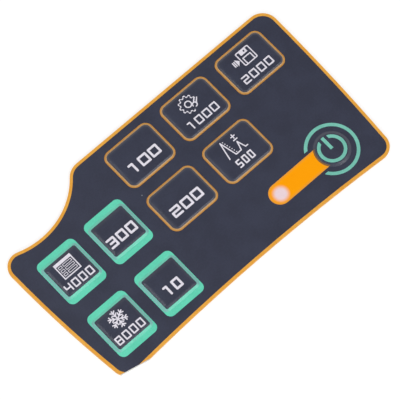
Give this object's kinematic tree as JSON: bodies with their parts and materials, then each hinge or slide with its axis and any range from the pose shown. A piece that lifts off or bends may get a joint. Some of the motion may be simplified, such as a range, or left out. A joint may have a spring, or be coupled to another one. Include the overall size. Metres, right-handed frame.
{
  "type": "membrane switch panel",
  "caption": "Flat embossed membrane keypad with outlined keys, a round power key, a lamp window and an adhesive back.",
  "frame": {"origin": "middle of the flat adhesive back face, under the middle of the panel's width and height", "axes": "+X along the long side, to the power key's side; +Y up the panel, towards its straight top edge; +Z out of the keys"},
  "size_m": [0.0964, 0.0509, 0.0013],
  "materials": {
    "overlay_film": "satin polyester with a fine texture, dark slate grey",
    "orange_border_ink": "screen-printed ink, orange",
    "orange_line_ink": "screen-printed ink, dull orange",
    "green_ink": "screen-printed ink, mint green",
    "amber_bar_ink": "screen-printed ink, amber",
    "lamp_window_ink": "translucent window ink, pale",
    "power_green_ink": "screen-printed ink, soft green",
    "legend_ink": "screen-printed ink, off-white",
    "transfer_adhesive": "double-sided adhesive film, cream",
    "clear_film": "frosted polyester film",
    "spacer_film": "white polyester spacer",
    "dome_steel": "cold-rolled stainless steel",
    "circuit_film": "polyester film, translucent",
    "printed_silver": "printed silver ink, matt",
    "lamp_body": "clear and white moulded lamp"
  },
  "bodies": {
    "root": {"graphic_overlay": "overlay_film", "border_ink": "orange_border_ink", "key_outline_ink": "orange_line_ink", "green_frame_ink": "green_ink", "indicator_bar_ink": "amber_bar_ink", "indicator_window": "lamp_window_ink", "power_symbol_ink": "power_green_ink", "legend_ink": "legend_ink", "overlay_adhesive": "transfer_adhesive", "dome_retainer": "clear_film", "spacer": "spacer_film", "dome_1": "dome_steel", "dome_2": "dome_steel", "dome_3": "dome_steel", "dome_4": "dome_steel", "dome_5": "dome_steel", "dome_6": "dome_steel", "dome_7": "dome_steel", "dome_8": "dome_steel", "dome_9": "dome_steel", "dome_power": "dome_steel", "circuit_film": "circuit_film", "silver_circuit": "printed_silver", "indicator_led": "lamp_body", "rear_adhesive": "transfer_adhesive"}
  },
  "joints": []
}
